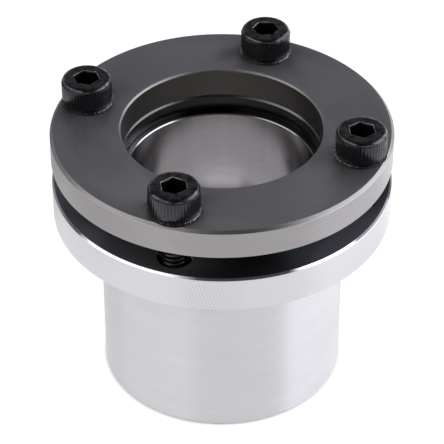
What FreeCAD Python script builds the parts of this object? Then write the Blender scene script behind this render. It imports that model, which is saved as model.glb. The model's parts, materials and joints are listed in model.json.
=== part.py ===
import FreeCAD, Part
import math
import os

# Hydraulic shaft bushing: a double-walled steel sleeve with a flange, filled
# with a pressure medium. Four socket head screws draw a loose pressure flange
# down, its ring piston presses the medium, and both walls of the sleeve grip,
# the inner one on a shaft and the outer one in a hub.
# Millimetres. The origin is the centre of the foot, and +Z runs up the axis
# towards the screw heads. The screws stand as delivered, not yet tightened.

# Driving dimensions, from the shaft outwards
shaft_d = 32.0
inner_wall = 1.0
chamber_gap = 0.8
outer_wall = 3.2
piston_width = 3.4
screw_wall = 1.35
thread_d = 5.0
flange_margin = 4.75
pressure_bore_play = 0.05

# Driving dimensions, from the foot upwards
hub_length = 32.3
sleeve_flange_t = 6.7
cylinder_floor = 0.4
stroke = 1.6
seal_height = 1.8
flange_gap = 4.5
pressure_flange_t = 5.2
inner_wall_rise = 1.15
collar_height = 2.5

# Clearances between the pieces
slide_clearance = 0.05
thread_clearance = 0.05
hole_clearance = 0.25
seal_float = 0.1

# Edges
rim_chamfer = 0.5
sleeve_rim_chamfer = 0.35
sleeve_underside_chamfer = 0.3
pressure_bore_chamfer = 0.3
shaft_lead_chamfer = 0.25
foot_chamfer = 0.3
shaft_exit_chamfer = 0.3
piston_bore_chamfer = 0.55
thread_mouth_chamfer = 0.5

# Socket head screw
screw_count = 4
first_screw_deg = -18.4
socket_turn_deg = (35.0, 0.0, 47.0, 37.0)
head_d = 8.6
head_height = 4.8
head_chamfer = 0.55
knurl_teeth = 36
knurl_depth = 0.16
key_across_flats = 4.0
key_depth = 2.5
thread_engagement = 4.3

# Radii that follow
shaft_r = shaft_d / 2
inner_wall_r = shaft_r + inner_wall
chamber_r = inner_wall_r + chamber_gap
hub_r = chamber_r + outer_wall
cylinder_r = inner_wall_r + piston_width
thread_r = thread_d / 2
screw_circle_r = cylinder_r + screw_wall + thread_r
flange_r = screw_circle_r + flange_margin
pressure_bore_r = inner_wall_r + pressure_bore_play
hole_r = thread_r + hole_clearance
shank_r = thread_r - thread_clearance
head_r = head_d / 2

# Heights that follow
sleeve_top = hub_length + sleeve_flange_t
floor_z = hub_length + cylinder_floor
seal_foot = floor_z + stroke + seal_float
piston_foot = seal_foot + seal_height
pressure_flange_z = sleeve_top + flange_gap
head_z = pressure_flange_z + pressure_flange_t
inner_wall_top = sleeve_top + inner_wall_rise
screw_length = pressure_flange_t + flange_gap + thread_engagement

UP = FreeCAD.Vector(0, 0, 1)


def point(r, z):
    """A point of a turned profile: radius r at height z."""
    return FreeCAD.Vector(r, 0, z)


def turned(*corners):
    """Solid of revolution about the Z axis of a closed profile of (r, z) corners."""
    outline = [point(r, z) for r, z in corners]
    face = Part.Face(Part.makePolygon(outline + outline[:1]))
    return face.revolve(FreeCAD.Vector(), UP, 360)


def screw_places():
    """Where each screw's axis crosses height 0, round the screw circle."""
    for i in range(screw_count):
        a = math.radians(first_screw_deg + i * 360.0 / screw_count)
        yield FreeCAD.Vector(screw_circle_r * math.cos(a), screw_circle_r * math.sin(a), 0)


def drilled(body, cutter):
    """The body with a cutter, modelled on the Z axis, taken out at each screw."""
    cutters = []
    for place in screw_places():
        tool = cutter.copy()
        tool.translate(place)
        cutters.append(tool)
    return body.cut(Part.makeCompound(cutters)).removeSplitter()


def outer_sleeve():
    """Flanged outer wall: hub seat below, flange with the piston's cylinder and tapped holes above."""
    body = turned(
        (chamber_r, 0),
        (hub_r - foot_chamfer, 0),
        (hub_r, foot_chamfer),
        (hub_r, hub_length),
        (flange_r - sleeve_underside_chamfer, hub_length),
        (flange_r, hub_length + sleeve_underside_chamfer),
        (flange_r, sleeve_top - sleeve_rim_chamfer),
        (flange_r - sleeve_rim_chamfer, sleeve_top),
        (cylinder_r, sleeve_top),
        (cylinder_r, floor_z),
        (chamber_r, floor_z),
    )
    tapped_hole = turned(
        (0, hub_length),
        (thread_r, hub_length),
        (thread_r, sleeve_top - thread_mouth_chamfer),
        (thread_r + 2 * thread_mouth_chamfer, sleeve_top + thread_mouth_chamfer),
        (0, sleeve_top + thread_mouth_chamfer),
    )
    return drilled(body, tapped_hole)


def inner_sleeve():
    """Thin inner wall that grips the shaft: its foot collar closes the chamber, its top guides the piston."""
    return turned(
        (shaft_r + shaft_exit_chamfer, 0),
        (chamber_r, 0),
        (chamber_r, collar_height),
        (inner_wall_r, collar_height),
        (inner_wall_r, inner_wall_top),
        (shaft_r + shaft_lead_chamfer, inner_wall_top),
        (shaft_r, inner_wall_top - shaft_lead_chamfer),
        (shaft_r, shaft_exit_chamfer),
    )


def pressure_medium():
    """The medium that fills the chamber between the walls and the foot of the cylinder."""
    return turned(
        (inner_wall_r, collar_height),
        (chamber_r, collar_height),
        (chamber_r, floor_z),
        (cylinder_r, floor_z),
        (cylinder_r, seal_foot),
        (inner_wall_r, seal_foot),
    )


def seal_ring():
    """Seal between the piston and the medium, running on the inner wall and in the cylinder."""
    inside = inner_wall_r + slide_clearance
    outside = cylinder_r - slide_clearance
    return turned((inside, seal_foot), (outside, seal_foot), (outside, piston_foot), (inside, piston_foot))


def piston():
    """Ring piston that stands on the seal and carries the pressure flange."""
    inside = inner_wall_r + slide_clearance
    outside = cylinder_r - slide_clearance
    return turned(
        (inside, piston_foot),
        (outside, piston_foot),
        (outside, pressure_flange_z),
        (inside + piston_bore_chamfer, pressure_flange_z),
        (inside, pressure_flange_z - piston_bore_chamfer),
    )


def pressure_flange():
    """Loose flange that the screw heads press down, with a clearance hole for each screw."""
    body = turned(
        (pressure_bore_r, pressure_flange_z),
        (flange_r, pressure_flange_z),
        (flange_r, head_z - rim_chamfer),
        (flange_r - rim_chamfer, head_z),
        (pressure_bore_r + pressure_bore_chamfer, head_z),
        (pressure_bore_r, head_z - pressure_bore_chamfer),
    )
    hole = Part.makeCylinder(hole_r, pressure_flange_t, point(0, pressure_flange_z))
    return drilled(body, hole)


def knurled_body():
    """Side of the head: a prism with a V groove between each pair of knurl teeth."""
    rim = []
    for i in range(2 * knurl_teeth):
        a = math.pi * i / knurl_teeth
        r = head_r - (i % 2) * knurl_depth
        rim.append(FreeCAD.Vector(r * math.cos(a), r * math.sin(a), 0))
    return Part.Face(Part.makePolygon(rim + rim[:1])).extrude(UP * (head_height - head_chamfer))


def smooth_cap():
    """Smooth top of the head, chamfered above the knurl."""
    cap_r = head_r - knurl_depth
    return Part.makeCone(cap_r, cap_r - head_chamfer, head_chamfer, point(0, head_height - head_chamfer))


def key_socket():
    """Cutter for the hexagon socket, on the Z axis."""
    corner_r = key_across_flats / 2 / math.cos(math.radians(30))
    hexagon = []
    for i in range(6):
        a = math.radians(60 * i)
        hexagon.append(FreeCAD.Vector(corner_r * math.cos(a), corner_r * math.sin(a), head_height - key_depth))
    return Part.Face(Part.makePolygon(hexagon + hexagon[:1])).extrude(UP * key_depth)


def blank_screw():
    """Screw with no socket yet, on the Z axis with the seat of its head at height 0."""
    shank = Part.makeCylinder(shank_r, screw_length, point(0, -screw_length))
    return knurled_body().fuse([smooth_cap(), shank])


def seated_screws():
    """The screws in their places, heads on the pressure flange, as (name, solid) pairs."""
    blank = blank_screw()
    socket = key_socket()
    for i, place in enumerate(screw_places()):
        turned_socket = socket.copy()
        turned_socket.rotate(FreeCAD.Vector(), UP, socket_turn_deg[i % len(socket_turn_deg)])
        screw = blank.cut(turned_socket)
        screw.translate(place + UP * head_z)
        yield "clamp_screw_%d" % (i + 1), screw


def main():
    os.makedirs("parts", exist_ok=True)
    pieces = {
        "outer_sleeve": outer_sleeve(),
        "inner_sleeve": inner_sleeve(),
        "pressure_medium": pressure_medium(),
        "seal_ring": seal_ring(),
        "piston": piston(),
        "pressure_flange": pressure_flange(),
    }
    pieces.update(seated_screws())
    for name, shape in pieces.items():
        solid = shape.Solids[0]
        print("%-16s solids %d  valid %s  faces %d  volume %.1f mm3"
              % (name, len(shape.Solids), shape.isValid(), len(shape.Faces), shape.Volume))
        solid.exportStep("parts/%s.step" % name)


main()
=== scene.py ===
import json
import math

import bmesh
import bpy
import numpy as np
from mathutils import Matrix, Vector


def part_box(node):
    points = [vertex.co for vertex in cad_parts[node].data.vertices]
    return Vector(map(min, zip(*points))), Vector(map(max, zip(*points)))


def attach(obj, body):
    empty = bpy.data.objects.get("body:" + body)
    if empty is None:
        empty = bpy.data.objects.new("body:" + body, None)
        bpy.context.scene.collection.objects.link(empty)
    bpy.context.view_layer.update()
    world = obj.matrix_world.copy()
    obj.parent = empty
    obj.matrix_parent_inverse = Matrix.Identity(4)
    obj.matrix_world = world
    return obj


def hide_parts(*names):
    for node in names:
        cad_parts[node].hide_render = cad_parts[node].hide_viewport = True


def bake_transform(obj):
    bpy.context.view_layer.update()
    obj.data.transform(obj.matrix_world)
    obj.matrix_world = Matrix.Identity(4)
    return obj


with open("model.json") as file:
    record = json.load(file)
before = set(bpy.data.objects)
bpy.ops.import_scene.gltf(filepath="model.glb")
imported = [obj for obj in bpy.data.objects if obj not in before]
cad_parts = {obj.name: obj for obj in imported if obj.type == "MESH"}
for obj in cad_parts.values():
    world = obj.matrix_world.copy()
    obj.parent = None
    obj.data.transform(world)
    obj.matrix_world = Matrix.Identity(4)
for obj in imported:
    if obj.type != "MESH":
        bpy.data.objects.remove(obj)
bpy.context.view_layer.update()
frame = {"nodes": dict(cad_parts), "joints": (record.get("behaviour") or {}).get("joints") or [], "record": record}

# Camera. It looks down on the bushing from the front, at 38 degrees, through a long lens. The frame is
# 444 pixels square, and the focal length in those pixels comes from the sizes of the bushing's circles.
image_width_px = 444
focal_length_px = 2243.25
camera_place = (0.0, -0.30853, 0.26681)
camera_down = math.radians(37.7)
sensor_mm = 36.0

camera_data = bpy.data.cameras.new("camera")
camera_data.sensor_width = sensor_mm
camera_data.lens = sensor_mm * focal_length_px / image_width_px
camera = bpy.data.objects.new("camera", camera_data)
camera.location = camera_place
camera.rotation_euler = (math.pi / 2 - camera_down, 0, 0)
bpy.context.scene.collection.objects.link(camera)
bpy.context.scene.camera = camera

# Outer sleeve. One turned steel piece: the hub seat below, and above it the flange with the piston's
# cylinder and a tapped hole for each clamp screw. Its outside is bright, with fine turning marks, and the
# tool has left a faint crossed chatter on the flange's rim.
mm = 0.001
mounts = {mount["name"]: mount for mount in frame["record"]["mounts"]}
screw_places = [joint["pos_m"] for joint in frame["joints"] if joint["type"] == "hinge"]
first_screw_angle = math.atan2(screw_places[0][1], screw_places[0][0])
sleeve_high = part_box("outer_sleeve")[1]
sleeve_top_z = sleeve_high.z
flange_r = sleeve_high.x
hub_r = mounts["hub_seat"]["dims"]["r_mm"] * mm
hub_stop_z = mounts["hub_stop"]["pos_m"][2]
chamber_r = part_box("inner_sleeve")[1].x
cylinder_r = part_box("pressure_medium")[1].x
cylinder_floor = 0.4 * mm
cylinder_floor_z = hub_stop_z + cylinder_floor
foot_chamfer = 0.3 * mm
underside_chamfer = 0.3 * mm
upper_chamfer = 0.35 * mm
edge = 0.06 * mm
thread_pitch = 0.8 * mm
thread_r = 2.5 * mm
thread_depth = 0.43 * mm
thread_mouth_chamfer = 0.5 * mm

# How finely the meshes are made, and how near two points are before they are one
ring_columns = 240
arc_steps = 4
weld_distance = 1e-8

# The thread across one pitch, from 0 to 1: where its outline bends, and where its rows of points lie
thread_bends = np.array([0.0, 0.25, 0.5625, 0.6875, 1.0])
thread_row_places = np.array([0.03, 0.22, 0.2875, 0.54, 0.71, 0.965])


def rounded(*corners):
    """The closed outline of a turned piece, from (r, z, rounding) corners in anticlockwise order.

    At a corner that turns by an angle a, the arc starts rounding * tan(a / 2) before it and ends as far
    behind it. Returns the arcs' points and the outward normal at each, both as (r, z) rows."""
    corners = np.array(corners)
    place, rounding = corners[:, :2], corners[:, 2]
    leaving = np.roll(place, -1, axis=0) - place
    leaving /= np.linalg.norm(leaving, axis=1, keepdims=True)
    arriving = np.roll(leaving, 1, axis=0)
    turn = np.arctan2(
        arriving[:, 0] * leaving[:, 1] - arriving[:, 1] * leaving[:, 0],
        (arriving * leaving).sum(axis=1),
    )
    normal = np.stack([arriving[:, 1], -arriving[:, 0]], axis=1)
    cut = rounding * np.tan(np.abs(turn) / 2)
    signed = (rounding * np.sign(turn))[:, None]
    centre = place - cut[:, None] * arriving - signed * normal
    share = np.linspace(0, 1, arc_steps + 1)
    angle = np.arctan2(normal[:, 1], normal[:, 0])[:, None] + turn[:, None] * share
    normals = np.stack([np.cos(angle), np.sin(angle)], axis=-1)
    points = centre[:, None] + signed[:, None] * normals
    return points.reshape(-1, 2), normals.reshape(-1, 2)


def spun(rz, angles):
    """Every (r, z) row turned to every angle: x = r cos(angle), y = r sin(angle). One row of points each."""
    r, z = rz[:, :1], rz[:, 1:]
    return np.stack([r * np.cos(angles), r * np.sin(angles), z + 0 * angles], axis=-1)


def skin(loops, rows_a_turn=0):
    """Quads between each loop of point numbers and the next, facing right of the way they go.

    Where the loops climb as a thread, the last column meets the first one rows_a_turn loops further on."""
    following = np.roll(loops, -1, axis=1)
    if rows_a_turn:
        rows = np.minimum(np.arange(len(loops)) + rows_a_turn, len(loops) - 1)
        following[:, -1] = loops[rows, 0]
    quads = [loops[:-1], following[:-1], following[1:], loops[1:]]
    return np.stack(quads, axis=-1).reshape(-1, 4)


def made(name, points, normals, quads, body, material, groove=None):
    """Puts points, normals and quads into a mesh, welds its seams, and lets it ride on its body, if any.

    A point whose normal is zero keeps the one that its faces give it. Groove, from 0 to 1 at each point, is
    stored for a material to read."""
    mesh = bpy.data.meshes.new(name)
    mesh.from_pydata(points.reshape(-1, 3), [], quads)
    exact = mesh.attributes.new("exact_normal", "FLOAT_VECTOR", "POINT")
    exact.data.foreach_set("vector", normals.reshape(-1).astype(np.float32))
    if groove is not None:
        stored = mesh.attributes.new("groove", "FLOAT", "POINT")
        stored.data.foreach_set("value", groove.reshape(-1).astype(np.float32))
    work = bmesh.new()
    work.from_mesh(mesh)
    bmesh.ops.remove_doubles(work, verts=work.verts, dist=weld_distance)
    work.to_mesh(mesh)
    work.free()
    mesh.shade_smooth()
    welded = np.zeros(3 * len(mesh.vertices), np.float32)
    mesh.attributes["exact_normal"].data.foreach_get("vector", welded)
    mesh.attributes.remove(mesh.attributes["exact_normal"])
    mesh.normals_split_custom_set_from_vertices(welded.reshape(-1, 3))
    mesh.materials.append(material)
    piece = bpy.data.objects.new(name, mesh)
    bpy.context.scene.collection.objects.link(piece)
    if body:
        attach(piece, body)
    return piece


def turned_rows(outline, normals):
    """Points and normals of a turned piece, a row for each point of its outline.

    The first column is an eighth of a turn before the first screw, which puts a screw in each quarter."""
    angles = first_screw_angle - math.pi / 4 + np.linspace(0, 2 * math.pi, ring_columns, endpoint=False)
    return spun(outline, angles), spun(normals, angles)


def turned(name, corners, body, material):
    """A plain turned ring, from the (r, z, rounding) corners of its outline."""
    points, normals = turned_rows(*rounded(*corners))
    loops = np.arange(points.size // 3).reshape(points.shape[:2])
    return made(name, points, normals, skin(np.vstack([loops, loops[:1]])), body, material)


def thread_rows(low_z, high_z, end_r, crest_r, root_r, angles):
    """Rows of radius and height along a helix: z = pitch * (row + angle / turn).

    Across a pitch the radius goes root, flank, crest, flank. Past either end it is the end's own radius."""
    climb = angles / (2 * math.pi)
    first = math.floor(low_z / thread_pitch - climb.max()) - 1
    last = math.ceil(high_z / thread_pitch - climb.min()) + 1
    turn = np.arange(first, last)
    row = (turn[:, None] + thread_row_places).reshape(-1, 1)
    form = np.interp(row % 1, thread_bends, [root_r, root_r, crest_r, crest_r, root_r])
    z = (row + climb) * thread_pitch
    inside = (z > low_z) & (z < high_z)
    r = np.where(inside, form + 0 * z, end_r)
    return r, np.clip(z, low_z, high_z)


def drilled(name, corners, top_corner, bottom_corner, hole_rows, body, material):
    """A turned ring with a hole at each screw, between the faces after its top and its bottom corner.

    The face's band between its two edges is left out. In its place each quarter of the ring has quads from
    its edges, as one loop, to the hole's own loop, and from there down the hole to the other face."""
    points, normals = turned_rows(*rounded(*corners))
    rows, columns = points.shape[:2]
    loops = np.arange(rows * columns).reshape(rows, columns)
    top, bottom = ((corner + 1) * (arc_steps + 1) - 1 for corner in (top_corner, bottom_corner))
    bands = np.stack([loops, np.roll(loops, -1, axis=0)])
    quads = [skin(bands[:, row]) for row in range(rows) if row not in (top, bottom)]
    all_points, all_normals = [points.reshape(-1, 3)], [normals.reshape(-1, 3)]
    quarter = columns // 4
    count = rows * columns
    for number, place in enumerate(screw_places):
        span = np.arange(number * quarter, (number + 1) * quarter + 1) % columns
        around_top = np.concatenate([loops[top, span], loops[top + 1, span[::-1]]])
        around_bottom = np.concatenate([loops[bottom + 1, span], loops[bottom, span[::-1]]])
        steps = len(around_top)
        angles = first_screw_angle + (number - 1) * math.pi / 2
        angles = angles + (np.arange(steps) + 0.5) * 2 * math.pi / steps
        hole, hole_normals, rows_a_turn = hole_rows(angles)
        hole = hole + np.array([place[0], place[1], 0])
        numbers = count + np.arange(hole.size // 3).reshape(hole.shape[:2])
        count += numbers.size
        all_points.append(hole.reshape(-1, 3))
        all_normals.append(hole_normals.reshape(-1, 3))
        quads += [
            skin(np.stack([around_top, numbers[0]])),
            skin(numbers, rows_a_turn),
            skin(np.stack([numbers[-1], around_bottom])),
        ]
    return made(name, np.vstack(all_points), np.vstack(all_normals), np.vstack(quads), body, material)


def tapped_hole(angles):
    """Rows of a tapped hole from the top face down: the countersink, the thread, and the edge below."""
    sink = thread_mouth_chamfer
    sink_outline = np.array([
        (thread_r + sink + edge, sleeve_top_z),
        (thread_r + sink, sleeve_top_z - edge / 2),
        (thread_r, sleeve_top_z - sink),
    ])
    mouth = spun(sink_outline, angles)
    low_z, high_z = hub_stop_z + edge, sleeve_top_z - sink - edge
    r, z = thread_rows(low_z, high_z, thread_r, thread_r - thread_depth, thread_r, angles)
    thread = np.stack([r * np.cos(angles), r * np.sin(angles), z], axis=-1)[::-1]
    foot = spun(np.array([(thread_r + edge, hub_stop_z)]), angles)
    rows = np.concatenate([mouth, thread, foot])
    return rows, np.zeros_like(rows), -len(thread_row_places)


class Value:
    """A socket of a material, or a way to start one. Sums on it add Math nodes to its material."""

    def __init__(self, tree, socket=None):
        self.tree = tree
        self.socket = socket

    def node(self, kind, sockets=None, output=0, **settings):
        """Adds a node, makes its settings, then fills its sockets with numbers, colours or other values."""
        new = self.tree.nodes.new("ShaderNode" + kind)
        for name, setting in settings.items():
            setattr(new, name, setting)
        for name, value in (sockets or {}).items():
            if isinstance(value, Value):
                self.tree.links.new(value.socket, new.inputs[name])
            else:
                new.inputs[name].default_value = value
        return Value(self.tree, new.outputs[output] if len(new.outputs) else None)

    def math(self, operation, *values):
        """A Math node. Its sockets have one name, so they go by number."""
        return self.node("Math", dict(enumerate(values)), operation=operation)

    def __add__(self, other):
        return self.math("ADD", self, other)

    def __radd__(self, other):
        return self.math("ADD", other, self)

    def __sub__(self, other):
        return self.math("SUBTRACT", self, other)

    def __rsub__(self, other):
        return self.math("SUBTRACT", other, self)

    def __mul__(self, other):
        return self.math("MULTIPLY", self, other)

    def __rmul__(self, other):
        return self.math("MULTIPLY", other, self)

    def __truediv__(self, other):
        return self.math("DIVIDE", self, other)

    def __pow__(self, other):
        return self.math("POWER", self, other)

    def step(self, low, high):
        """0 below low, 1 above high, and a smooth rise between."""
        return self.node("MapRange", {"Value": self, 1: low, 2: high}, interpolation_type="SMOOTHSTEP")

    def blend(self, first, second):
        """The colour first where this is 0, and second where it is 1. A Mix node's colours go by number."""
        return self.node("Mix", {0: self, 6: first, 7: second}, output=2, data_type="RGBA")

    def shader(self, first, second):
        """The shader first where this is 0, and second where it is 1."""
        return self.node("MixShader", {0: self, 1: first, 2: second})


def new_material(name):
    """An empty material and a start for its nodes."""
    material = bpy.data.materials.new(name)
    material.use_nodes = True
    material.node_tree.nodes.clear()
    return material, Value(material.node_tree)


def grey(level, tint=(1.0, 1.0, 1.0)):
    """A colour of this level, leaning to a tint."""
    return tuple(level * part for part in tint) + (1.0,)


def axis_place(start):
    """x, y, height and radius about the bushing's axis, in metres."""
    spot = start.node("TexCoord", output="Object")
    x, y, z = (start.node("SeparateXYZ", {"Vector": spot}, output=part) for part in "XYZ")
    return x, y, z, (x * x + y * y) ** 0.5


def turning_marks(start, lines_per_mm, patches):
    """Grain that runs round the axis: noise over height and radius, slow along the way round."""
    x, y, z, radius = axis_place(start)
    along = start.node("CombineXYZ", {
        "X": x / radius * patches,
        "Y": y / radius * patches,
        "Z": z * (lines_per_mm / mm),
    })
    return start.node("TexNoise", {
        "Vector": along,
        "W": radius * (lines_per_mm / mm),
        "Scale": 1.0,
        "Detail": 3.0,
        "Roughness": 0.6,
    }, noise_dimensions="4D")


def relief(start, height, depth):
    """A bump that rises by depth where height goes from 0 to 1."""
    return start.node("Bump", {"Strength": 1.0, "Distance": depth, "Height": height})


def metal(start, colour, roughness, height, depth, anisotropy=0.0):
    """Bare metal. Where it was turned, its lights are drawn out across the marks, which circle the axis."""
    return start.node("BsdfPrincipled", {
        "Base Color": colour,
        "Metallic": 1.0,
        "Roughness": roughness,
        "Anisotropic": anisotropy,
        "Anisotropic Rotation": 0.25,
        "Normal": relief(start, height, depth),
    })


def on_rim(radius):
    """1 on the rim of either flange and 0 inside it. Both flanges have the same radius."""
    return radius.step(flange_r - 0.05 * mm, flange_r - 0.01 * mm)


black = grey(0.0)
bright_steel = grey(0.635, (1.0, 0.985, 1.03))
# The sleeve's top face: a darker grey, and a lighter bluish grey for the painted sheen at its left end
dark_top_face = grey(0.3, (0.94, 0.96, 1.1))
painted_sheen_face = grey(0.3, (0.88, 0.93, 1.15))


def sleeve_material():
    """Round sides with strong turning marks. The faces and chamfers between them are finer."""
    material, start = new_material("bright turned steel")
    x, y, z, radius = axis_place(start)
    fine = turning_marks(start, lines_per_mm=2.2, patches=1.5)
    broad = turning_marks(start, lines_per_mm=0.4, patches=2.0)
    rim = on_rim(radius)
    barrel = 1.0 - start.math("ABSOLUTE", radius - hub_r).step(0.02 * mm, 0.05 * mm)

    # Chatter on the front of the rim: steep waves on the left, slanted ones on the right, crossed between
    angle = start.math("ARCTAN2", y, x) + math.pi / 2
    steep = start.math("SINE", angle * 310.0 + z * (3.0 / mm)) * (1.0 - angle.step(-0.1, 0.02))
    slanted = start.math("SINE", angle * 290.0 - z * (8.0 / mm)) * angle.step(-0.16, -0.06)
    front = rim * (1.0 - start.math("ABSOLUTE", angle + 0.04).step(0.1, 0.24))
    chatter = (steep + slanted) * front
    tone = (0.92 + 0.12 * fine) * (0.94 + 0.1 * broad) * (1.0 + 0.04 * rim) * (1.0 + 0.13 * chatter)
    colour = tone.blend(black, bright_steel)
    sides = metal(start, colour, 0.285 + 0.04 * broad - 0.08 * rim, chatter, 0.001 * mm, anisotropy=0.97)

    # Both ends of the upper chamfer are painted darker, a painted shade on its reflection of the lamps
    chamfer = z.step(sleeve_top_z - 0.4 * mm, sleeve_top_z - 0.36 * mm)
    painted_chamfer_shade = 0.85 * x.step(20.5 * mm, 22.5 * mm) + 0.65 * (1.0 - x.step(-22.8 * mm, -20.8 * mm))
    colour = (chamfer * painted_chamfer_shade).blend(colour, black)
    # The top face is a darker grey. Its left end is painted lighter and bluish, a painted sheen, and its right end
    # darker, a painted shade
    top = z.step(sleeve_top_z - 0.05 * mm, sleeve_top_z - 0.02 * mm)
    brighter_part = 1.0 - x.step(-25.0 * mm, -18.0 * mm)
    painted_right_shade = x.step(14.0 * mm, 22.0 * mm)
    face = (0.43 + 0.57 * brighter_part - 0.13 * painted_right_shade).blend(black, dark_top_face)
    colour = top.blend(colour, brighter_part.blend(face, painted_sheen_face))
    rough = 0.12 + 0.06 * broad + 0.27 * top
    faces = metal(start, colour, rough, fine, 0.0008 * mm, anisotropy=0.9)
    start.node("OutputMaterial", {"Surface": (rim + barrel).shader(faces, sides)})
    return material


sleeve = drilled(
    "outer_sleeve_turned",
    [
        (chamber_r, 0.0, edge),
        (hub_r - foot_chamfer, 0.0, edge),
        (hub_r, foot_chamfer, edge),
        (hub_r, hub_stop_z, edge),
        (flange_r - underside_chamfer, hub_stop_z, edge),
        (flange_r, hub_stop_z + underside_chamfer, edge),
        (flange_r, sleeve_top_z - upper_chamfer, edge),
        (flange_r - upper_chamfer, sleeve_top_z, edge),
        (cylinder_r, sleeve_top_z, edge),
        (cylinder_r, cylinder_floor_z, edge),
        (chamber_r, cylinder_floor_z, edge),
    ],
    top_corner=7,
    bottom_corner=3,
    hole_rows=tapped_hole,
    body="sleeve",
    material=sleeve_material(),
)
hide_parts("outer_sleeve")

# Inner sleeve. The thin steel wall that grips the shaft, turned and then honed. Its collar closes the
# chamber at the foot, and its chamfered top edge stands in the piston's bore.
wall_top_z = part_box("inner_sleeve")[1].z
shaft_r = mounts["shaft_bore"]["dims"]["r_mm"] * mm
inner_wall_width = 1.0 * mm
inner_wall_r = shaft_r + inner_wall_width
collar_z = 2.5 * mm
shaft_exit_chamfer = 0.3 * mm
shaft_lead_chamfer = 0.18 * mm
honed_steel = grey(0.65, (1.02, 0.985, 1.015))


def inner_material():
    """Fine marks round the bore, painted darker and darker up to 24 mm as shade in the bore, and a lip on top
    painted darker as shade, most on the right.
    """
    material, start = new_material("honed steel")
    fine = turning_marks(start, lines_per_mm=6.0, patches=8.0)
    broad = turning_marks(start, lines_per_mm=0.8, patches=3.0)
    bands = turning_marks(start, lines_per_mm=0.02, patches=12.0)
    x, _, z, _ = axis_place(start)
    # Painted shade: the bore is darker and darker up to 24 mm, then plain above 26 mm
    wear_and_painted_light = 1.0 - z.step(21.5 * mm, 26.0 * mm)
    darkening = 1.0 - 0.35 * z.step(1.5 * mm, 8.0 * mm) * wear_and_painted_light
    darkening = darkening * (1.0 - 0.8 * z.step(14.0 * mm, 24.0 * mm) * wear_and_painted_light)
    # The lip is painted darker, a painted shade, most on the right
    lip = z.step(wall_top_z - 0.3 * mm, wall_top_z - 0.2 * mm)
    painted_lip_shade = 1.0 - lip * (0.4 + 0.3 * x.step(-6.0 * mm, 0.0))
    tone = (0.88 + 0.14 * fine) * (0.92 + 0.14 * broad) * (0.9 + 0.2 * bands) * darkening * painted_lip_shade
    colour = tone.blend(black, honed_steel)
    shader = metal(start, colour, 0.12 + 0.08 * broad, fine, 0.001 * mm)
    start.node("OutputMaterial", {"Surface": shader})
    return material


inner_wall = turned("inner_sleeve_honed", [
    (shaft_r + shaft_exit_chamfer, 0.0, edge),
    (chamber_r, 0.0, edge / 3),
    (chamber_r, collar_z, edge),
    (inner_wall_r, collar_z, edge),
    (inner_wall_r, wall_top_z, edge),
    (shaft_r + shaft_lead_chamfer, wall_top_z, edge / 2),
    (shaft_r, wall_top_z - shaft_lead_chamfer, edge / 2),
    (shaft_r, shaft_exit_chamfer, edge),
], "sleeve", inner_material())
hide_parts("inner_sleeve")

# Pressure medium. A soft amber filling, poured into the chamber between the walls and closed in on all sides.
medium_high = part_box("pressure_medium")[1]
medium_edge = edge / 3
amber = grey(0.5, (1.0, 0.8, 0.4))
pale_amber = grey(0.7, (1.0, 0.82, 0.45))


def speckle(start, scale, detail):
    """Noise that is alike in all directions, with about scale waves to the metre."""
    spot = start.node("TexCoord", output="Object")
    return start.node("TexNoise", {"Vector": spot, "Scale": scale, "Detail": detail})


def medium_material():
    """A cloudy filling that lets a little light in."""
    material, start = new_material("amber filling")
    cloud = speckle(start, 400.0, 4.0)
    shader = start.node("BsdfPrincipled", {
        "Base Color": cloud.blend(amber, pale_amber),
        "Roughness": 0.25 + 0.1 * cloud,
        "Subsurface Weight": 0.2,
    })
    start.node("OutputMaterial", {"Surface": shader})
    return material


medium = turned("chamber_filling", [
    (inner_wall_r, collar_z, medium_edge),
    (chamber_r, collar_z, medium_edge),
    (chamber_r, cylinder_floor_z, medium_edge),
    (cylinder_r, cylinder_floor_z, medium_edge),
    (cylinder_r, medium_high.z, medium_edge),
    (inner_wall_r, medium_high.z, medium_edge),
], None, medium_material())
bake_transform(medium)
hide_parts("pressure_medium")

# Piston ring and its seal. The dark turned steel ring stands on a moulded seal of black rubber and carries
# the pressure flange, whose bore shows its chamfered top edge as a fine bright line.
piston_low, piston_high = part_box("piston")
piston_play = 0.05 * mm
piston_r = inner_wall_r + piston_play
piston_bore_chamfer = 0.55 * mm
dark_steel = grey(0.1, (1.0, 0.98, 0.99))
rubber_black = grey(0.02)
rubber_grey = grey(0.035)


def piston_material():
    """Fine turning marks, bright by the chamfer and much darker below it."""
    material, start = new_material("dark turned steel")
    z = axis_place(start)[2]
    fine = turning_marks(start, lines_per_mm=6.0, patches=7.0)
    brighter_part = z.step(piston_high.z - 2.4 * mm, piston_high.z - 1.4 * mm)
    tone = (0.8 + 0.3 * fine) * (0.12 + 0.88 * brighter_part)
    shader = metal(start, tone.blend(black, dark_steel), 0.2 + 0.1 * fine, fine, 0.001 * mm)
    start.node("OutputMaterial", {"Surface": shader})
    return material


piston = turned("piston_ring", [
    (piston_r, piston_low.z, edge),
    (piston_high.x, piston_low.z, edge),
    (piston_high.x, piston_high.z, edge),
    (piston_r + piston_bore_chamfer, piston_high.z, edge),
    (piston_r, piston_high.z - piston_bore_chamfer, edge),
], "clamp", piston_material())
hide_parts("piston")


def seal_material():
    """Rubber with a fine matt grain."""
    material, start = new_material("black seal rubber")
    grain = speckle(start, 3000.0, 3.0)
    shader = start.node("BsdfPrincipled", {
        "Base Color": grain.blend(rubber_black, rubber_grey),
        "Roughness": 0.5 + 0.2 * grain,
        "Normal": relief(start, grain, 0.01 * mm),
    })
    start.node("OutputMaterial", {"Surface": shader})
    return material


rubber = seal_material()
for material_slot in frame["nodes"]["seal_ring"].material_slots:
    material_slot.material = rubber

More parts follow.
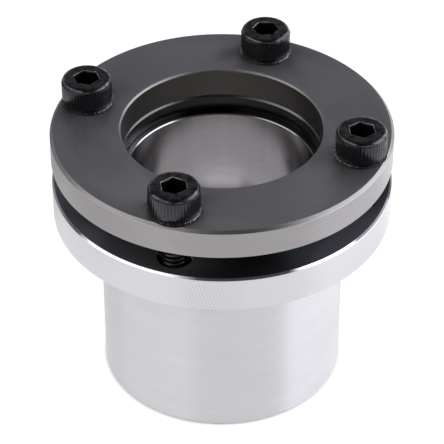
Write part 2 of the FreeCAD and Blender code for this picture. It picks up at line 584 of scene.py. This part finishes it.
# Pressure flange. A loose ring of dark, oiled steel. Its faces are ground to a satin slate grey, its turned
# rim is lighter and warmer, and a clearance hole takes each screw.
flange_low, flange_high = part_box("pressure_flange")
head_seat_z = flange_high.z
pressure_bore_play = 0.05 * mm
pressure_bore_r = inner_wall_r + pressure_bore_play
hole_play = 0.25 * mm
hole_r = thread_r + hole_play
rim_chamfer = 0.5 * mm
pressure_bore_chamfer = 0.3 * mm
slate_face = grey(0.225, (0.99, 0.97, 1.06))
chamfer_grey = grey(0.2, (1.03, 0.985, 0.99))
bore_grey = grey(0.195, (1.05, 0.98, 0.93))
rim_grey = grey(0.335, (1.02, 0.97, 1.0))
shadowed_underside = grey(0.03)


def clearance_hole(angles):
    """Rows of a plain hole from the top face down, its edges broken."""
    outline = np.array([
        (hole_r + edge, flange_high.z),
        (hole_r, flange_high.z - edge),
        (hole_r, flange_low.z + edge),
        (hole_r + edge, flange_low.z),
    ])
    rows = spun(outline, angles)
    return rows, np.zeros_like(rows), 0


def flange_material():
    """Satin faces, chamfer and bore, each of its own grey, and a shinier rim."""
    material, start = new_material("oiled dark steel")
    z, radius = axis_place(start)[2:]
    fine = turning_marks(start, lines_per_mm=6.0, patches=7.0)
    broad = turning_marks(start, lines_per_mm=0.7, patches=3.0)
    grain = speckle(start, 2500.0, 4.0)
    rim = on_rim(radius)
    bore = 1.0 - radius.step(pressure_bore_r + 0.05 * mm, pressure_bore_r + 0.3 * mm)
    top = z.step(flange_low.z + 0.1 * mm, flange_low.z + 0.3 * mm)
    chamfer = radius.step(flange_r - 0.52 * mm, flange_r - 0.46 * mm) * top
    tone = (0.85 + 0.2 * fine) * (0.92 + 0.16 * broad) * (0.95 + 0.1 * grain)
    colour = chamfer.blend(top.blend(shadowed_underside, slate_face), chamfer_grey)
    colour = rim.blend(bore.blend(colour, bore_grey), rim_grey)
    shade = tone.blend(black, grey(1.0))
    colour = start.node(
        "Mix", {0: 1.0, 6: colour, 7: shade}, output=2, data_type="RGBA", blend_type="MULTIPLY")
    rough = 0.54 + 0.08 * broad - 0.2 * chamfer - 0.24 * bore
    faces = metal(start, colour, rough, 0.4 * fine + 2.0 * grain, 0.001 * mm)
    sides = metal(start, colour, 0.22 + 0.05 * broad, fine + grain, 0.001 * mm, anisotropy=0.95)
    start.node("OutputMaterial", {"Surface": rim.shader(faces, sides)})
    return material


flange = drilled(
    "pressure_flange_ground",
    [
        (pressure_bore_r, flange_low.z, edge),
        (flange_r, flange_low.z, edge),
        (flange_r, flange_high.z - rim_chamfer, edge),
        (flange_r - rim_chamfer, flange_high.z, edge),
        (pressure_bore_r + pressure_bore_chamfer, flange_high.z, edge),
        (pressure_bore_r, flange_high.z - pressure_bore_chamfer, edge),
    ],
    top_corner=3,
    bottom_corner=0,
    hole_rows=clearance_hole,
    body="clamp",
    material=flange_material(),
)
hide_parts("pressure_flange")

# Clamp screws. Four black M5 socket head screws, cold headed, with a straight knurl round the head, a
# rounded rim and a hexagon socket with a cone lead. The thread is rolled up to the head.
screw_low, screw_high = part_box("clamp_screw_1")
head_height = screw_high.z - head_seat_z
head_r = 4.3 * mm
screw_length = head_seat_z - screw_low.z
shank_r = 2.45 * mm
point_r = 1.85 * mm
neck_r = 2.2 * mm
neck_height = 0.9 * mm
seat_ring_r = 2.6 * mm
teeth = 48
knurl_depth = 0.09 * mm
knurl_low = 1.15 * mm
knurl_high = 3.98 * mm
cap_rounding = 0.75 * mm
cap_steps = 7
cap_inset = 0.02 * mm
socket_turns = [math.radians(turn) for turn in (35.0, 0.0, 47.0, 37.0)]
key_flat_r = 2.0 * mm
key_depth = 2.5 * mm
socket_lead = 0.1 * mm
socket_cone = 0.9 * mm
sharp_from = math.radians(38)
deep_black = grey(0.0015)
blue_black = grey(0.004, (1.0, 1.0, 1.2))
# The leads' lighter grey, worn bright and partly a painted highlight; then the black of the socket's painted shade
lead_wear_and_highlight = grey(0.28, (1.0, 1.0, 0.95))
socket_shade_black = grey(0.001)
violet_gloss = grey(1.0, (0.89, 0.89, 1.0))

# One tooth of the knurl, from 0 to 1 along the way round: its four points, and how far each stands out
tooth_points = np.array([0, 0.15, 0.5, 0.85])
tooth_heights = np.array([1, 1, 0, 1])


def screw_material():
    """Mottled black steel. Inside, the sockets barely reflect, a painted shade, and their leads are lighter: worn
    bright by a key and partly a painted highlight.
    """
    material, start = new_material("black screw steel")
    grain = speckle(start, 2200.0, 4.0)
    patch = speckle(start, 500.0, 2.0)
    x, y, z = axis_place(start)[:3]

    # The distance from the nearest screw's own axis. It starts at a metre, further off than any of them.
    own_radius = 1.0
    for place in screw_places:
        east, north = x - place[0], y - place[1]
        own_radius = start.math("MINIMUM", own_radius, (east * east + north * north) ** 0.5)
    depth = screw_high.z - z
    socket = depth.step(0.1 * mm, 0.4 * mm) * (1.0 - own_radius.step(2.35 * mm, 2.45 * mm))
    socket = socket * z.step(head_seat_z + 1.0 * mm, head_seat_z + 1.3 * mm)
    # The lead is lighter: worn bright by a key, and partly a painted highlight
    wear_and_painted_light = depth.step(0.01 * mm, 0.03 * mm) * (1.0 - depth.step(0.1 * mm, 0.13 * mm))
    wear_and_painted_light = wear_and_painted_light * (1.0 - own_radius.step(2.45 * mm, 2.5 * mm)) * patch.step(0.4, 0.6)
    blackened = patch.blend(deep_black, blue_black)
    outside = start.node("BsdfPrincipled", {
        "Base Color": wear_and_painted_light.blend(blackened, lead_wear_and_highlight),
        "Roughness": 0.06 + 0.26 * patch,
        "Specular IOR Level": 0.68,
        "Specular Tint": violet_gloss,
        "Normal": relief(start, grain + 2.0 * patch, 0.026 * mm),
    })
    # A black that barely reflects: the painted shade of the socket and the grooves
    inside = start.node("BsdfPrincipled", {
        "Base Color": socket_shade_black,
        "Roughness": 0.5 + 0.2 * patch,
        "Specular IOR Level": 0.02,
    })

    # Painted shade in the socket and, half as strong, in the knurl's grooves, and dull blotches, mostly on top
    groove = start.node("Attribute", output="Fac", attribute_name="groove")
    blotch = speckle(start, 1000.0, 3.0).step(0.44, 0.62)
    blotch = blotch * (0.1 + 0.5 * z.step(screw_high.z - 1.1 * mm, screw_high.z - 0.7 * mm))
    darkening = start.math("MAXIMUM", socket, start.math("MAXIMUM", 0.5 * groove, blotch))
    start.node("OutputMaterial", {"Surface": darkening.shader(outside, inside)})
    return material


def head_rows(angles):
    """Rows of a head from its seat up, over the rim and down the socket: radius, height, groove by angle.

    The knurl's radius is a row of flat teeth. The rim's is a quarter circle. The socket's is
    flat_r / cos(angle from the flat's middle)."""
    phase = (angles * teeth / (2 * math.pi)) % 1
    tooth = np.interp(phase, tooth_points, tooth_heights, period=1)
    crest = head_r - knurl_depth * (1 - tooth)
    plain = head_r - knurl_depth + 0 * angles
    sixth = math.pi / 3
    hexagon = key_flat_r / np.cos((angles % sixth) - sixth / 2)
    rows = [
        (shank_r + 0 * angles, -0.15 * mm),
        (seat_ring_r + 0 * angles, 0.0),
        (plain - 0.2 * mm, 0.0),
        (plain - 0.06 * mm, 0.05 * mm),
        (plain, 0.2 * mm),
        (plain, knurl_low - 0.15 * mm),
        (crest, knurl_low),
        (crest, knurl_high),
        (plain - cap_inset, knurl_high + 0.12 * mm),
    ]
    for angle in np.linspace(0, math.pi / 2, cap_steps):
        rows.append((
            plain - cap_rounding * (1 - math.cos(angle)) - cap_inset,
            head_height - cap_rounding * (1 - math.sin(angle)),
        ))
    rows += [
        (plain - cap_rounding - 0.1 * mm, head_height),
        (hexagon + 1.4 * socket_lead, head_height),
        (hexagon + socket_lead, head_height),
        (hexagon, head_height - socket_lead),
        (hexagon, head_height - key_depth),
        (hexagon * 0.97, head_height - key_depth - 0.02 * mm),
        (0.0 * angles, head_height - key_depth - socket_cone),
    ]
    r = np.array([radius for radius, height in rows])
    z = np.array([height + 0 * angles for radius, height in rows])
    knurled = (z > knurl_low - 0.05 * mm) & (z < knurl_high + 0.02 * mm) & (r > head_r - 2 * knurl_depth)
    return r, z, np.where(knurled, 1 - tooth, 0)


def screw_piece(place, turn):
    """One screw: its bevelled point, its thread and its head, as rows round its own axis.

    The bevel's radius is point_r at the foot and grows by as much as the height does."""
    angles = (np.arange(teeth)[:, None] + tooth_points).reshape(-1) * 2 * math.pi / teeth
    seat_z = place[2]
    foot_z = seat_z - screw_length
    thread_top_z = seat_z - neck_height
    r, z = thread_rows(foot_z, thread_top_z, point_r, shank_r, shank_r - thread_depth, angles + turn)
    r = np.minimum(r, point_r + (z - foot_z))
    r = np.where(z >= thread_top_z, neck_r, r)
    top_r, top_z, top_groove = head_rows(angles)
    groove = np.concatenate([0 * r[:1], 0 * r, top_groove])
    r = np.concatenate([0 * r[:1], r, top_r])
    z = np.concatenate([z[:1], z, top_z + seat_z])
    points = np.stack([
        place[0] + r * np.cos(angles + turn),
        place[1] + r * np.sin(angles + turn),
        z,
    ], axis=-1)
    loops = np.arange(r.size).reshape(r.shape)
    thread_count = len(r) - len(top_r)
    quads = np.concatenate([
        skin(loops[:2]),
        skin(loops[1:thread_count], len(thread_row_places)),
        skin(loops[thread_count - 1:]),
    ])
    return points, quads, groove


black_steel = screw_material()
for number, (place, turn) in enumerate(zip(screw_places, socket_turns), start=1):
    points, quads, groove = screw_piece(place, turn)
    screw = made("socket_screw_%d" % number, points, np.zeros_like(points), quads,
                 "screw_%d" % number, black_steel, groove)
    screw.data.set_sharp_from_angle(angle=sharp_from)
    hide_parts("clamp_screw_%d" % number)

# Oil that has crept out from under the screw heads. It stands as a thin black fillet round each head, with a
# wider pool on one side, and rides on the pressure flange.
pool_ways = [math.radians(way) for way in (215.0, 305.0, 320.0, 310.0)]
oil_columns = 96
oil_rings = 9
oil_under_head = 0.3 * mm
oil_sunk_z = head_seat_z - 0.03 * mm
oil_black = grey(0.004)
oil_brown = grey(0.01, (1.1, 1.0, 0.85))


def oil_material():
    """Thick black oil, glossy and lightly rippled."""
    material, start = new_material("oil")
    ripple = speckle(start, 2800.0, 1.0)
    shader = start.node("BsdfPrincipled", {
        "Base Color": ripple.blend(oil_black, oil_brown),
        "Roughness": 0.02 + 0.08 * ripple,
        "Specular IOR Level": 0.8,
        "Normal": relief(start, ripple, 0.16 * mm),
    })
    start.node("OutputMaterial", {"Surface": shader})
    return material


def oil_rows(angles, pool_way):
    """A fillet of the height h (1 - s)^3.5 from the head, s = 0, to its edge, s = 1, widest at pool_way."""
    pool = (0.5 + 0.5 * np.cos(angles - pool_way)) ** 2
    uneven = 0.5 + 0.5 * np.sin(5 * angles + 3 * np.sin(2 * angles))
    s = np.linspace(0, 1, oil_rings)[:, None]
    reach = (0.05 + 0.06 * uneven + 0.5 * pool) * mm
    r = head_r - oil_under_head + s * (oil_under_head + reach)
    z = head_seat_z + (0.05 + 0.05 * uneven + 0.5 * pool) * mm * (1 - s) ** 3.5
    r = np.concatenate([r, r[-1:] + 0.02 * mm, r[:1]])
    z = np.concatenate([z, 0 * r[-1:] + oil_sunk_z, 0 * r[-1:] + oil_sunk_z])
    return r, z


oil = oil_material()
for number, (place, pool_way) in enumerate(zip(screw_places, pool_ways), start=1):
    angles = np.linspace(0, 2 * math.pi, oil_columns, endpoint=False)
    r, z = oil_rows(angles, pool_way)
    points = np.stack([place[0] + r * np.cos(angles), place[1] + r * np.sin(angles), z], axis=-1)
    loops = np.arange(r.size).reshape(r.shape)
    quads = skin(np.vstack([loops, loops[:1]])[::-1])
    made("oil_trace_%d" % number, points, np.zeros_like(points), quads, "clamp", oil)

# Studio. A white floor that goes on to a white horizon, a dim ceiling, and a soft box on either side.
floor_reach = 3.0
horizon_top = math.sin(math.radians(8))
ceiling_edge = math.sin(math.radians(27))
front_ceiling = grey(0.07)
back_ceiling = grey(0.27)
bushing_middle = np.array([0, 0, 0.03])


def floor_material():
    """White paper that takes the shadow. Where it is seen or mirrored, most of its white is a glow."""
    material, start = new_material("white floor")
    seen = start.node("LightPath", output="Is Camera Ray")
    glossy = start.node("LightPath", output="Is Glossy Ray")
    through = start.node("LightPath", output="Is Transmission Ray")
    shown = start.math("MAXIMUM", start.math("MAXIMUM", seen, glossy), through)
    side, depth, _, radius = axis_place(start)

    # What the metal mirrors is brighter on the left and the right, dark further left, and behind the bushing
    # it rises from left to right
    near_left = 1.0 - side.step(-60.0 * mm, -30.0 * mm)
    far_left = 1.0 - side.step(-98.0 * mm, -80.0 * mm)
    right = side.step(82.0 * mm, 98.0 * mm)
    behind = depth.step(20.0 * mm, 55.0 * mm) * radius.step(52.0 * mm, 64.0 * mm)
    across = (side.step(-45.0 * mm, 45.0 * mm) - 0.65) * behind
    level = 1.15 * (1.0 + glossy * (0.12 * near_left - 0.6 * far_left + 0.5 * right + 0.7 * across))

    # Under the walls, and in the corner round the bore apart from its front, the paper doesn't glow
    before = 1.0 - depth.step(-12.0 * mm, -8.0 * mm)
    in_front = before * (1.0 - start.math("ABSOLUTE", side).step(7.0 * mm, 10.0 * mm))
    corner = radius.step(shaft_r - 4.0 * mm, shaft_r - mm)
    corner = start.math("MAXIMUM", corner * (1.0 - in_front), radius.step(shaft_r - 0.4 * mm, shaft_r))
    covered = corner * (1.0 - radius.step(hub_r - 0.4 * mm, hub_r + 0.6 * mm))
    far = 0.2 * seen * radius.step(100.0 * mm, 400.0 * mm)
    paper = start.node("BsdfDiffuse", {"Color": grey(0.9)})
    glow = start.node("Emission", {"Color": grey(1.0), "Strength": level})
    above = ((shown * 0.8 + far) * (1.0 - covered)).shader(paper, glow)

    # From below the floor is clear, so that the foot can be looked at
    underneath = start.node("NewGeometry", output="Backfacing")
    clear = start.node("BsdfTransparent")
    start.node("OutputMaterial", {"Surface": underneath.shader(above, clear)})
    return material


floor_corners = [
    (-floor_reach, -floor_reach, 0),
    (floor_reach, -floor_reach, 0),
    (floor_reach, floor_reach, 0),
    (-floor_reach, floor_reach, 0),
]
floor_mesh = bpy.data.meshes.new("floor")
floor_mesh.from_pydata(floor_corners, [], [(0, 1, 2, 3)])
floor_mesh.materials.append(floor_material())
floor = bpy.data.objects.new("floor", floor_mesh)
bpy.context.scene.collection.objects.link(floor)

world = bpy.data.worlds.new("studio")
bpy.context.scene.world = world
world.use_nodes = True
world.node_tree.nodes.clear()
sky = Value(world.node_tree)
way = sky.node("TexCoord", output="Generated")
up = sky.node("SeparateXYZ", {"Vector": way}, output="Z")
back = sky.node("SeparateXYZ", {"Vector": way}, output="Y")
ceiling = back.step(-0.4, 0.5).blend(front_ceiling, back_ceiling)
studio_light = up.step(horizon_top, ceiling_edge).blend(grey(1.0), ceiling)
background = sky.node("Background", {"Color": studio_light, "Strength": 1.0})
sky.node("OutputWorld", {"Surface": background})


def soft_box(name, azimuth, elevation, distance, size, power, colour):
    """A rectangular lamp that looks at the bushing's middle. Azimuth 0 is in front, and 90 on the right."""
    lamp = bpy.data.lights.new(name, "AREA")
    lamp.shape = "RECTANGLE"
    lamp.size, lamp.size_y = size
    lamp.energy = power
    lamp.color = colour
    box = bpy.data.objects.new(name, lamp)
    a, e = math.radians(azimuth), math.radians(elevation)
    outwards = np.array([math.sin(a) * math.cos(e), -math.cos(a) * math.cos(e), math.sin(e)])
    box.location = bushing_middle + distance * outwards
    box.rotation_euler = (math.pi / 2 - e, 0, a)
    bpy.context.scene.collection.objects.link(box)


soft_box("left box", azimuth=-62.0, elevation=33.0, distance=0.7, size=(0.94, 0.45), power=3.0,
         colour=(1.0, 0.99, 0.98))
soft_box("right box", azimuth=92.0, elevation=24.0, distance=0.7, size=(1.0, 0.66), power=7.0,
         colour=(0.92, 0.955, 1.0))

bpy.context.scene.view_settings.view_transform = "Standard"
